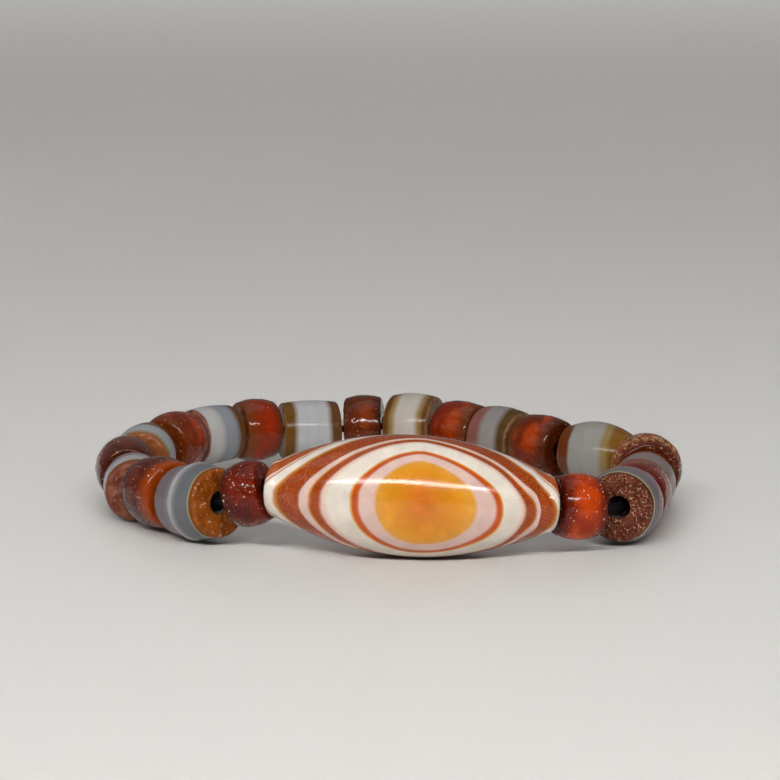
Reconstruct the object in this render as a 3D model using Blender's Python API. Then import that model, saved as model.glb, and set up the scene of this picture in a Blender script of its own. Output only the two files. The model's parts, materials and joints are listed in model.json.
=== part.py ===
"""Bracelet of drilled stone beads on one elastic thread, lying on a flat surface.

A long spindle-shaped eye bead lies across the front. From its left end the small beads run
round the back to its right end, carnelian and banded agate in turn, so that the bracelet is one
whole loop. Each bead is drilled along its length and the thread runs through every bore.

Units are metres. +X is to the right seen from the front, +Y to the back and +Z up. The origin is
on the surface, below the middle of the bracelet.
"""

from dataclasses import dataclass, field
from math import atan2, cos, pi, radians, sin, tan

import bmesh
import bpy
import numpy as np
from mathutils import Matrix, Vector

# Eye bead: a spindle that is widest in the middle, with rounded ends whose faces lean, so that
# the beads beside it tuck in behind them. It stands forward of the line of the thread.
EYE_LENGTH = 0.0314
EYE_GIRTH = 0.0135
EYE_END = 0.0066
EYE_NOSE = 0.0010
EYE_LEAN = 0.24
EYE_STATIONS = 11
EYE_FORWARD = 0.0012

# Small beads: the sizes that the rows of the string take shares of
BEAD_LENGTH = 0.0061
BEAD_GIRTH = 0.0080
BEAD_STATIONS = 5
EDGE_ROUND = 0.00045

# What all beads share
EDGE_STEPS = 2
LEAN_POWER = 8
BEAD_SIDES = 16
BEAD_GAP = 0.00035

# Elastic thread and the room that each bore leaves round it
THREAD_DIAMETER = 0.0010
BORE_CLEARANCE = 0.0008
THREAD_STEP = 2.5
THREAD_SIDES = 8

# The plan of the loop, seen from above, as the bracelet lies: chosen points in millimetres,
# clockwise from the middle of the eye bead. The string keeps this shape at any bead size,
# because the plan is scaled until its length is that of the beads on it.
LOOP_PLAN_MM = (
    (2.4, -25.5),
    (-6.0, -25.0),
    (-13.2, -24.6),
    (-18.0, -23.2),
    (-24.6, -16.0),
    (-29.2, -10.0),
    (-31.7, -2.9),
    (-32.1, 4.4),
    (-28.4, 11.3),
    (-25.9, 16.8),
    (-20.9, 21.5),
    (-15.6, 24.4),
    (-7.2, 26.5),
    (-1.2, 26.3),
    (5.6, 24.0),
    (11.0, 20.4),
    (16.2, 15.8),
    (20.9, 11.5),
    (33.4, 3.0),
    (30.2, -3.8),
    (29.3, -10.2),
    (27.8, -17.3),
    (24.9, -24.2),
    (18.4, -26.2),
    (10.8, -25.9),
)
PLAN_DETAIL = 24

# How often the beads are seated again, and the share of each wrong gap that a round takes away
SETTLING_ROUNDS = 80
SETTLING_PACE = 0.4


@dataclass(frozen=True)
class Bead:
    """One small bead. Its length and girth are shares of the common sizes."""

    name: str
    length: float  # share of BEAD_LENGTH
    girth: float  # share of BEAD_GIRTH
    end: float  # width of its end faces, as a share of its own girth
    rise: float  # 0 where it lies on the surface, 1 where it is level with the eye bead
    turn: float = 0.0  # degrees that it is turned on the thread, which its wide bore allows


# In order along the thread, from the left end of the eye bead to its right end
SMALL_BEADS = (
    Bead("carnelian_bead_01", 0.68, 0.93, 0.90, 0.88),
    Bead("agate_bead_02", 1.18, 1.05, 0.94, 0.10),
    Bead("carnelian_bead_03", 1.00, 1.03, 0.93, 0.10, -6.0),
    Bead("agate_bead_04", 1.06, 0.93, 0.96, 0.00, -13.0),
    Bead("carnelian_bead_05", 1.04, 0.95, 0.92, 0.18, 5.0),
    Bead("agate_bead_06", 1.00, 0.95, 0.94, 0.28, 21.0),
    Bead("carnelian_bead_07", 0.88, 0.97, 0.92, 0.40),
    Bead("agate_bead_08", 1.00, 0.92, 0.94, 0.42),
    Bead("carnelian_bead_09", 0.78, 0.99, 0.92, 0.34),
    Bead("agate_bead_10", 1.20, 0.96, 0.94, 0.20),
    Bead("carnelian_bead_11", 0.76, 1.06, 0.93, 0.16),
    Bead("agate_bead_12", 0.98, 1.06, 0.93, 0.34),
    Bead("carnelian_bead_13", 0.88, 0.99, 0.92, 0.36),
    Bead("agate_bead_14", 1.00, 0.99, 0.93, 0.34),
    Bead("carnelian_bead_15", 0.96, 0.97, 0.92, 0.30),
    Bead("agate_bead_16", 1.34, 0.99, 0.78, 0.22, -4.0),
    Bead("carnelian_bead_17", 0.88, 1.07, 0.88, 0.00, 4.0),
    Bead("agate_bead_18", 1.04, 0.93, 0.94, 0.00),
    Bead("carnelian_bead_19", 1.12, 1.00, 0.93, 0.00),
    Bead("agate_bead_20", 0.98, 1.08, 0.90, 0.00, 4.0),
    Bead("carnelian_bead_21", 0.80, 0.93, 0.90, 0.52),
)

# Linear colour, metallic value and roughness of each stone and of the thread
SARDONYX = ((0.72, 0.42, 0.22, 1.0), 0.0, 0.22)
CARNELIAN = ((0.40, 0.06, 0.01, 1.0), 0.0, 0.30)
AGATE = ((0.46, 0.42, 0.42, 1.0), 0.0, 0.25)
ELASTIC = ((0.010, 0.010, 0.011, 1.0), 0.0, 0.55)

BORE = THREAD_DIAMETER + 2 * BORE_CLEARANCE
ALL_SIDES_OUT = 1 / cos(pi / BEAD_SIDES)


@dataclass
class StrungBead:
    """A bead with the sizes it is turned to and its place on the string."""

    name: str
    length: float
    girth: float
    end: float
    edge: float
    stations: int
    lean: float = 0.0
    turn: float = 0.0
    centre: Vector = field(default_factory=Vector)
    axis: Vector = field(default_factory=lambda: Vector((1.0, 0.0, 0.0)))

    def mouth(self, side):
        """The middle of its bore's mouth, before it (-1) or after it (1) along the string."""
        return self.centre + self.axis * (side * self.length / 2)

    def frame(self):
        """Its level direction across the bore and the one that is most upright."""
        across = Vector((0.0, 0.0, 1.0)).cross(self.axis).normalized()
        return across, self.axis.cross(across)

    def outline(self):
        """Its outer half section as (along, radius) pairs, from one end face to the other."""
        half = self.length / 2
        pairs = []
        for i in range(self.stations):
            share = 2 * i / (self.stations - 1) - 1
            radius = (self.girth - (self.girth - self.end) * share**2) / 2
            pairs.append((share * (half - self.edge), radius))
        for i in range(1, EDGE_STEPS + 1):
            turn = pi / 2 * i / EDGE_STEPS
            along = half - self.edge * (1 - sin(turn))
            radius = self.end / 2 - self.edge * (1 - cos(turn))
            pairs.insert(0, (-along, radius))
            pairs.append((along, radius))
        return pairs

    def leaned(self, along, outward):
        """How far a point of the section moves along the bore, because the end faces lean."""
        near_end = np.abs(np.clip(along * 2 / self.length, -1.0, 1.0)) ** LEAN_POWER
        return self.lean * outward * near_end * np.sign(along)

    def corners(self):
        """Every outer corner of the faceted bead, a row each, with a flat side facing down."""
        across, up = (np.array(side) for side in self.frame())
        along, radius = np.array(self.outline()).T
        turns = (np.arange(BEAD_SIDES) + 0.5) * 2 * pi / BEAD_SIDES
        outward = np.outer(radius * ALL_SIDES_OUT, np.sin(turns))
        upward = np.outer(radius * ALL_SIDES_OUT, np.cos(turns))
        along = along[:, None] + self.leaned(along[:, None], outward)
        spread = np.stack((along, outward, upward), axis=-1).reshape(-1, 3)
        return np.array(self.centre) + spread @ np.array((self.axis, across, up))

    def sides(self):
        """The outward normals of its half section's sides, and how far out each side lies."""
        half = self.length / 2
        section = np.array([(-half, 0.0)] + self.outline() + [(half, 0.0)]) * (1.0, ALL_SIDES_OUT)
        step = np.diff(section, axis=0)
        normals = np.column_stack((-step[:, 1], step[:, 0]))
        normals /= np.linalg.norm(normals, axis=1)[:, None]
        return normals, (normals * section[1:]).sum(axis=1)


def clear_scene():
    """Removes every object, so that the file holds the bracelet alone."""
    for thing in list(bpy.data.objects):
        bpy.data.objects.remove(thing, do_unlink=True)


def new_material(name, finish):
    """A Principled material from a (colour, metallic, roughness) triple."""
    colour, metallic, roughness = finish
    material = bpy.data.materials.new(name)
    material.use_nodes = True
    shader = material.node_tree.nodes["Principled BSDF"]
    shader.inputs["Base Color"].default_value = colour
    shader.inputs["Metallic"].default_value = metallic
    shader.inputs["Roughness"].default_value = roughness
    return material


def smooth_loop(knots, detail):
    """Points of a closed curve that passes smoothly through the knots, detail to each stretch."""
    points = []
    count = len(knots)
    for i, here in enumerate(knots):
        before, after, beyond = knots[i - 1], knots[(i + 1) % count], knots[(i + 2) % count]
        span = (after - here).length
        leave = tangent(before, here, after) * span
        arrive = tangent(here, after, beyond) * span
        for step in range(detail):
            t = step / detail
            points.append(
                here * (2 * t**3 - 3 * t**2 + 1)
                + leave * (t**3 - 2 * t**2 + t)
                + after * (3 * t**2 - 2 * t**3)
                + arrive * (t**3 - t**2)
            )
    return points


def tangent(before, here, after):
    """The unit speed at a knot, leaning to its nearer neighbour so that close knots don't overshoot."""
    back, ahead = here - before, after - here
    return (back / back.length**2 + ahead / ahead.length**2) / (1 / back.length + 1 / ahead.length)


class Route:
    """A closed line of points that can be read by the distance along it."""

    def __init__(self, points):
        self.points = points
        self.marks = [0.0]
        for i, point in enumerate(points):
            self.marks.append(self.marks[-1] + (points[(i + 1) % len(points)] - point).length)
        self.length = self.marks[-1]

    def at(self, distance):
        """The point that lies this far along the line, which may go round more than once."""
        distance %= self.length
        low, high = 0, len(self.points)
        while high - low > 1:
            middle = (low + high) // 2
            if self.marks[middle] <= distance:
                low = middle
            else:
                high = middle
        share = (distance - self.marks[low]) / (self.marks[low + 1] - self.marks[low])
        return self.points[low].lerp(self.points[(low + 1) % len(self.points)], share)


def eye_radius(share):
    """Outer radius of the eye bead, 0 at its middle and 1 at the start of its rounded edge."""
    return (EYE_GIRTH - (EYE_GIRTH - EYE_END) * share**2) / 2


def eye_tilt():
    """How far the eye bead's right end leans down, so that it rests flat beside its middle."""
    share = 2 / (EYE_STATIONS - 1)
    run = share * (EYE_LENGTH / 2 - EYE_NOSE)
    return atan2(eye_radius(0) - eye_radius(share), run)


def string_beads():
    """Seats every bead on the loop, end to end, and returns them with the eye bead first.

    Each bead takes a slot between two joints on the loop: its own length and the room at each
    end that keeps it a gap away from its neighbour where the string turns. The rooms, the
    heights and the places of the joints are settled together by repeating the walk.
    """
    plan = Route(smooth_loop([Vector((x, y, 0.0)) for x, y in LOOP_PLAN_MM], PLAN_DETAIL))
    beads = [StrungBead("eye_bead", EYE_LENGTH, EYE_GIRTH, EYE_END, EYE_NOSE, EYE_STATIONS, EYE_LEAN)]
    for row in SMALL_BEADS:
        girth = row.girth * BEAD_GIRTH
        end = row.end * girth
        edge = min(EDGE_ROUND, (end - BORE) / 4)
        length = row.length * BEAD_LENGTH
        turn = radians(row.turn)
        beads.append(StrungBead(row.name, length, girth, end, edge, BEAD_STATIONS, turn=turn))
    count = len(beads)
    arcs = [bead.length for bead in beads]
    rooms = [BEAD_GAP / 2] * count
    for _ in range(SETTLING_ROUNDS):
        joints = walk(plan, arcs)
        seat(beads, joints, rooms)
        for i, bead in enumerate(beads):
            slot = bead.length + rooms[i] + rooms[(i + 1) % count]
            arcs[i] *= slot * bead.axis.xy.length / (joints[i + 1] - joints[i]).length
            rooms[i] += SETTLING_PACE * (BEAD_GAP - clearance(beads[i - 1], bead))
    return beads


def resting_heights(beads):
    """Height of each bead's middle above the surface, at its present slope."""
    eye_height = EYE_GIRTH / 2 * cos(eye_tilt())
    heights = [eye_height]
    for row, bead in zip(SMALL_BEADS, beads[1:]):
        lying = bead.centre.z - float(bead.corners()[:, 2].min())
        heights.append(lying + row.rise * max(eye_height - lying, 0.0))
    return heights


def walk(plan, arcs):
    """The joints round the loop, from the eye bead's right end, on a plan scaled to the string."""
    scale = sum(arcs) / plan.length
    walked = -arcs[0] / 2
    joints = [plan.at(walked / scale) * scale]
    for arc in arcs:
        walked += arc
        joints.append(plan.at(walked / scale) * scale)
    return joints


def seat(beads, joints, rooms):
    """Moves each bead to its slot between two joints, at its height and slope."""
    heights = resting_heights(beads)
    lean = tan(eye_tilt())
    left_end = heights[0] + lean * EYE_LENGTH / 2
    right_end = heights[0] - lean * EYE_LENGTH / 2
    levels = [(a + b) / 2 for a, b in zip([left_end] + heights[1:], heights[1:] + [right_end])]
    for i, bead in enumerate(beads):
        run = joints[i + 1] - joints[i]
        climb = levels[i] - levels[i - 1] if i else lean * run.length
        bead.axis = (run + Vector((0.0, 0.0, climb))).normalized()
        bead.centre = joints[i] + bead.axis * (rooms[i] + bead.length / 2)
        bead.centre.z = heights[i]
        bead.axis.rotate(Matrix.Rotation(bead.turn, 3, "Z"))
    eye = beads[0]
    eye.centre += EYE_FORWARD * eye.frame()[0]


def clearance(one, other):
    """The least distance between two beads, from the corners of each."""
    return min(nearest(one, other), nearest(other, one))


def nearest(one, other):
    """How near the corners of one bead come to the sides of the other."""
    offset = one.corners() - np.array(other.centre)
    along = offset @ np.array(other.axis)
    out = np.linalg.norm(offset - np.outer(along, other.axis), axis=1)
    along -= other.leaned(along, offset @ np.array(other.frame()[0]))
    normals, levels = other.sides()
    return float((np.column_stack((along, out)) @ normals.T - levels).max(axis=1).min())


def turned_mesh(bead):
    """A closed ring of stone: the bead's half section turned round the X axis, a flat side down."""
    form = bmesh.new()
    start = Matrix.Rotation(pi / BEAD_SIDES, 4, "X")
    half = bead.length / 2
    section = [(along, radius * ALL_SIDES_OUT) for along, radius in bead.outline()]
    section += [(half, BORE / 2), (-half, BORE / 2)]
    rim = [form.verts.new(start @ Vector((along, 0.0, -reach))) for along, reach in section]
    edges = [form.edges.new((rim[i - 1], rim[i])) for i in range(len(rim))]
    bmesh.ops.spin(
        form,
        geom=rim + edges,
        cent=(0.0, 0.0, 0.0),
        axis=(1.0, 0.0, 0.0),
        angle=2 * pi,
        steps=BEAD_SIDES,
        use_merge=True,
    )
    bmesh.ops.remove_doubles(form, verts=form.verts, dist=1e-6)
    for corner in form.verts:
        corner.co.x += bead.leaned(corner.co.x, corner.co.y)
    bmesh.ops.recalc_face_normals(form, faces=form.faces)
    mesh = bpy.data.meshes.new(bead.name)
    form.to_mesh(mesh)
    form.free()
    mesh.shade_smooth()
    mesh.set_sharp_from_angle(angle=radians(30))
    return mesh


def place_bead(bead, material):
    """Adds the bead's object, its bore along the string and one flat side down."""
    mesh = turned_mesh(bead)
    mesh.materials.append(material)
    thing = bpy.data.objects.new(bead.name, mesh)
    turn = Matrix((bead.axis, *bead.frame())).transposed()
    thing.matrix_world = Matrix.Translation(bead.centre) @ turn.to_4x4()
    bpy.context.scene.collection.objects.link(thing)


def thread_points(beads):
    """Evenly spaced points of the thread, from a smooth curve through the middle of every bore."""
    knots = []
    for i, bead in enumerate(beads):
        knots.append((beads[i - 1].mouth(1) + bead.mouth(-1)) / 2)
        steps = max(2, round(bead.length / BEAD_LENGTH * 2))
        knots += [bead.mouth(2 * k / steps - 1) for k in range(1, steps)]
    line = Route(smooth_loop(knots, PLAN_DETAIL))
    count = round(line.length / (THREAD_STEP * THREAD_DIAMETER))
    return [line.at(line.length * i / count) for i in range(count)]


def place_thread(beads, material):
    """Adds the elastic thread as one closed loop through every bore."""
    points = thread_points(beads)
    curve = bpy.data.curves.new("elastic_thread", "CURVE")
    curve.dimensions = "3D"
    curve.bevel_depth = THREAD_DIAMETER / 2
    curve.bevel_resolution = (THREAD_SIDES - 4) // 2
    spline = curve.splines.new("POLY")
    spline.points.add(len(points) - 1)
    for knot, point in zip(spline.points, points):
        knot.co = (*point, 1.0)
    spline.use_cyclic_u = True
    spline.use_smooth = True
    curve.materials.append(material)
    thing = bpy.data.objects.new("elastic_thread", curve)
    bpy.context.scene.collection.objects.link(thing)


def plan_middle(beads):
    """The middle of the beads' outline as seen from above, on the surface."""
    corners = np.concatenate([bead.corners() for bead in beads])
    middle = (corners.min(axis=0) + corners.max(axis=0)) / 2
    return Vector((middle[0], middle[1], 0.0))


def main():
    """Builds the bracelet: the eye bead, the small beads in their order and the thread."""
    clear_scene()
    stones = {
        "eye": new_material("sardonyx", SARDONYX),
        "carnelian": new_material("carnelian", CARNELIAN),
        "agate": new_material("banded_agate", AGATE),
    }
    beads = string_beads()
    middle = plan_middle(beads)
    for bead in beads:
        bead.centre -= middle
        place_bead(bead, stones[bead.name.split("_")[0]])
    place_thread(beads, new_material("black_elastic", ELASTIC))


main()
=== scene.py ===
"""Looks of a dzi bead bracelet: polished and tumbled agate beads strung on black elastic.

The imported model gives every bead's place, turn and sizes. Each bead is turned again here as a
fine mesh with the dents, pits and rough end faces of drilled stone, and gets a procedural
material for its own banding. Lengths are in metres, or in millimetres where a name ends in _mm.
+X is to the right seen from the front, +Y to the back and +Z up.
"""

from __future__ import annotations

import json
import logging
import math
from dataclasses import dataclass, replace
from enum import Enum
from typing import Any

import bmesh
import bpy
import numpy as np
from mathutils import Matrix, Vector, noise

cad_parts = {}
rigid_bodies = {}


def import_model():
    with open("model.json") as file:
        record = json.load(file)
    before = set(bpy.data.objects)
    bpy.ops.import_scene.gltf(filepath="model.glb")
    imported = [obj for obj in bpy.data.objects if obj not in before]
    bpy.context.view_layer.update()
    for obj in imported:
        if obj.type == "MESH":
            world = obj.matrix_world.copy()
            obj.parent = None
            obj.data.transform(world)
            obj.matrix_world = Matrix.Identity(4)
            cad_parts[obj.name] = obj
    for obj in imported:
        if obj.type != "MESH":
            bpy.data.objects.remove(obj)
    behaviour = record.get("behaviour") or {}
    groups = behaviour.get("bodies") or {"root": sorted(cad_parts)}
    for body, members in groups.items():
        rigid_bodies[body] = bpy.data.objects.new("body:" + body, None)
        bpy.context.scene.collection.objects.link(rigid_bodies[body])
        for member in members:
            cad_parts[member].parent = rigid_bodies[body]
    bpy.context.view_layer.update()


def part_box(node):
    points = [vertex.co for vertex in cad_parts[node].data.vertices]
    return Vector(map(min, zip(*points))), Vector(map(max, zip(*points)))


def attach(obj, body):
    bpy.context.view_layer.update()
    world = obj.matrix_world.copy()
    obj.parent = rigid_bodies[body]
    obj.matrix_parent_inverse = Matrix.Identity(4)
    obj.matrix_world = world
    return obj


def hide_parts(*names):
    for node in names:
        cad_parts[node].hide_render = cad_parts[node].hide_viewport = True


Tree = bpy.types.NodeTree
Socket = bpy.types.NodeSocket
Pair = tuple[float, float]

log = logging.getLogger("bracelet")

MM = 0.001
MERGE = 0.001 * MM
BODY = "root"
STONE_PLACE = "stone_mm"
STONE_PITS = "stone_pits"
SEED_STEPS = (17.3, 5.1, 9.7)
RAMP_LAYERS = 15
IOR_QUARTZ = 1.54

# How a packed bead is read: its sides, the steps of its rounded edge, the rounds that find its
# axis, how squarely an end face looks along it, how far the bore's corners reach past its
# radius, where the outer ones begin, and how near two corners of one ring lie.
PACKED_SIDES = 16
PACKED_EDGE_STEPS = 2
AXIS_ROUNDS = 6
END_FACING = 0.88
BORE_REACH = 1.02
OUTER_START = 1.1
SAME_RING = 0.02 * MM


class Slot(Enum):
    """The record's material slots."""

    SARDONYX = "sardonyx"
    CARNELIAN = "carnelian"
    AGATE = "banded_agate"
    ELASTIC = "black_elastic"


class Tilt(Enum):
    """How the layers of a banded bead lie: square to the bore, or leaning to a side."""

    SQUARE = (0.0, 0.0)
    SIDEWAYS = (0.18, 0.0)


def linear(colour: str) -> tuple[float, float, float, float]:
    """Turns an sRGB hex colour to linear light.

    Args:
        colour: six hex digits after a hash sign, such as "#E8A030".

    Returns:
        Linear red, green, blue and an alpha of 1.
    """
    parts = [int(colour[i : i + 2], 16) / 255 for i in (1, 3, 5)]
    light = [c / 12.92 if c <= 0.04045 else ((c + 0.055) / 1.055) ** 2.4 for c in parts]
    return light[0], light[1], light[2], 1.0


def add(
    tree: Tree,
    kind: str,
    inputs: tuple[Any, ...] | dict[int | str, Any] = (),
    **settings: Any,
) -> bpy.types.Node:
    """Adds one shader node with its settings, and sets or links its inputs.

    Args:
        tree: the node tree that takes the node.
        kind: the node's type without its ShaderNode prefix.
        inputs: values, sockets or nodes for the first inputs in their order, or for named or
            numbered ones; a node stands for its first output.
        **settings: properties of the node.

    Returns:
        The new node.
    """
    node = tree.nodes.new("ShaderNode" + kind)
    for name, value in settings.items():
        setattr(node, name, value)
    for key, value in inputs.items() if isinstance(inputs, dict) else enumerate(inputs):
        if isinstance(value, bpy.types.Node):
            value = value.outputs[0]
        if isinstance(value, Socket):
            tree.links.new(value, node.inputs[key])
        else:
            node.inputs[key].default_value = value
    return node


@dataclass(frozen=True)
class Band:
    """One layer of agate: its colour, and where it gives way to the next."""

    until: float
    colour: str
    soft: float = 0.16


def fill_ramp(ramp: bpy.types.ColorRamp, bands: tuple[Band, ...], reach: float) -> None:
    """Sets a colour ramp's stops so that it shows the bands from zero to a reach.

    Args:
        ramp: the ramp to fill.
        bands: the layers in order; the first starts at zero and the last runs on to the end.
        reach: the distance at the ramp's end, in the bands' unit.
    """
    while len(ramp.elements) > 1:
        ramp.elements.remove(ramp.elements[-1])
    ramp.elements[0].position = 0.0
    ramp.elements[0].color = linear(bands[0].colour)
    for here, after in zip(bands, bands[1:]):
        for side, layer in ((-1, here), (1, after)):
            stop = ramp.elements.new((here.until + side * here.soft / 2) / reach)
            stop.color = linear(layer.colour)


def layered(tree: Tree, bands: tuple[Band, ...], distance: Socket, reach: float) -> Socket:
    """Adds colour ramps that show layers of stone by their distance.

    Args:
        tree: the material's node tree.
        bands: the layers in order from zero.
        distance: the distance that tells the layer.
        reach: the largest distance that shows.

    Returns:
        The layers' colour.
    """
    share = add(tree, "Math", (distance, reach), operation="DIVIDE")
    colour = None
    for first in range(0, len(bands) - 1, RAMP_LAYERS - 1):
        ramp = add(tree, "ValToRGB", {"Fac": share})
        fill_ramp(ramp.color_ramp, bands[first : first + RAMP_LAYERS], reach)
        if colour is None:
            colour = ramp.outputs["Color"]
            continue
        seam = (bands[first - 1].until + bands[first].until) / 2
        beyond = add(tree, "Math", (distance, seam), operation="GREATER_THAN")
        colour = add(tree, "Mix", {0: beyond, 6: colour, 7: ramp}, data_type="RGBA").outputs[2]
    return colour


def fill_curve(node: bpy.types.Node, pairs: tuple[Pair, ...], reach: float, height: float) -> None:
    """Sets a float curve that carries one value to another, both as shares of its ends.

    Args:
        node: the float curve node.
        pairs: measured and wanted values, in order.
        reach: the measured value that the curve's end stands for.
        height: the wanted value that its top stands for.
    """
    curve = node.mapping.curves[0]
    while len(curve.points) > 2:
        curve.points.remove(curve.points[1])
    curve.points[0].location = (pairs[0][0] / reach, pairs[0][1] / height)
    curve.points[1].location = (pairs[-1][0] / reach, pairs[-1][1] / height)
    for measured, wanted in pairs[1:-1]:
        curve.points.new(measured / reach, wanted / height)
    node.mapping.update()


def patches(
    tree: Tree,
    place: Socket,
    size_mm: float,
    detail: float,
    span: Pair = (0.0, 1.0),
    ends: Pair = (0.0, 1.0),
    roughness: float = 0.5,
    distortion: float = 0.0,
    **settings: Any,
) -> Socket:
    """Adds soft uneven patches in the stone, such as clouds, haze and wear.

    Args:
        tree: the material's node tree.
        place: the place in the stone, in millimetres.
        size_mm: the width of a patch.
        detail: how many finer sizes of patch are added.
        span: the part of the noise between 0 and 1 that is spread out.
        ends: the values at the low and the high end of the span.
        roughness: how strong the finer sizes are.
        distortion: how much the patches are drawn out.
        **settings: properties of the node that spreads the span.

    Returns:
        The value at a place.
    """
    noise_inputs = {"Vector": place, "Scale": 1 / size_mm, "Detail": detail}
    spots = add(tree, "TexNoise", {**noise_inputs, "Roughness": roughness, "Distortion": distortion})
    return add(tree, "MapRange", (spots, *span, *ends), **settings).outputs[0]


@dataclass(frozen=True)
class Gloss:
    """How a stone's surface takes light: its roughness and the fine relief left by polishing."""

    rough: float
    rough_spread: float
    grain_mm: float
    grain_height_mm: float
    glow: float
    glow_depth_mm: float = 1.0
    glow_tint: tuple[float, float, float] = (1.0, 0.36, 0.14)
    patch_mm: float = 2.0
    patch_span: Pair = (0.35, 0.65)
    matt_extra: float = 0.30
    shine: float = 0.16

    def shade(
        self, tree: Tree, colour: Socket, place: Socket, relief: Socket, matt: Socket | None = None
    ) -> None:
        """Adds the shader and output of a stone.

        Args:
            tree: the material's node tree.
            colour: the stone's colour.
            place: the place in the stone, in millimetres.
            relief: a height in millimetres that is added to the grain's.
            matt: 1 where the surface is unpolished, 0 where it is polished.
        """
        grain = add(
            tree, "TexNoise",
            {"Vector": place, "Scale": 1 / self.grain_mm, "Detail": 3.0, "Roughness": 0.6},
        )
        height = add(tree, "Math", (grain, self.grain_height_mm, relief), operation="MULTIPLY_ADD")
        bump = add(tree, "Bump", {"Height": height, "Distance": MM, "Strength": 1.0})
        worn = self.rough + self.rough_spread
        rough = patches(tree, place, self.patch_mm, 2.0, self.patch_span, (self.rough, worn))
        if matt is not None:
            rough = add(tree, "Math", (matt, self.matt_extra, rough), operation="MULTIPLY_ADD")
        shader = add(
            tree, "BsdfPrincipled",
            {"Base Color": colour, "Roughness": rough, "IOR": IOR_QUARTZ,
             "Specular IOR Level": self.shine, "Subsurface Weight": self.glow,
             "Subsurface Radius": self.glow_tint, "Subsurface Scale": self.glow_depth_mm * MM,
             "Normal": bump},
            subsurface_method="RANDOM_WALK",
        )
        add(tree, "OutputMaterial", {"Surface": shader})


def new_tree(name: str) -> tuple[bpy.types.Material, Tree]:
    """Makes an empty node material.

    Args:
        name: the material's name.

    Returns:
        The material and its cleared node tree.
    """
    material = bpy.data.materials.new(name)
    material.use_nodes = True
    material.node_tree.nodes.clear()
    return material, material.node_tree


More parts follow.
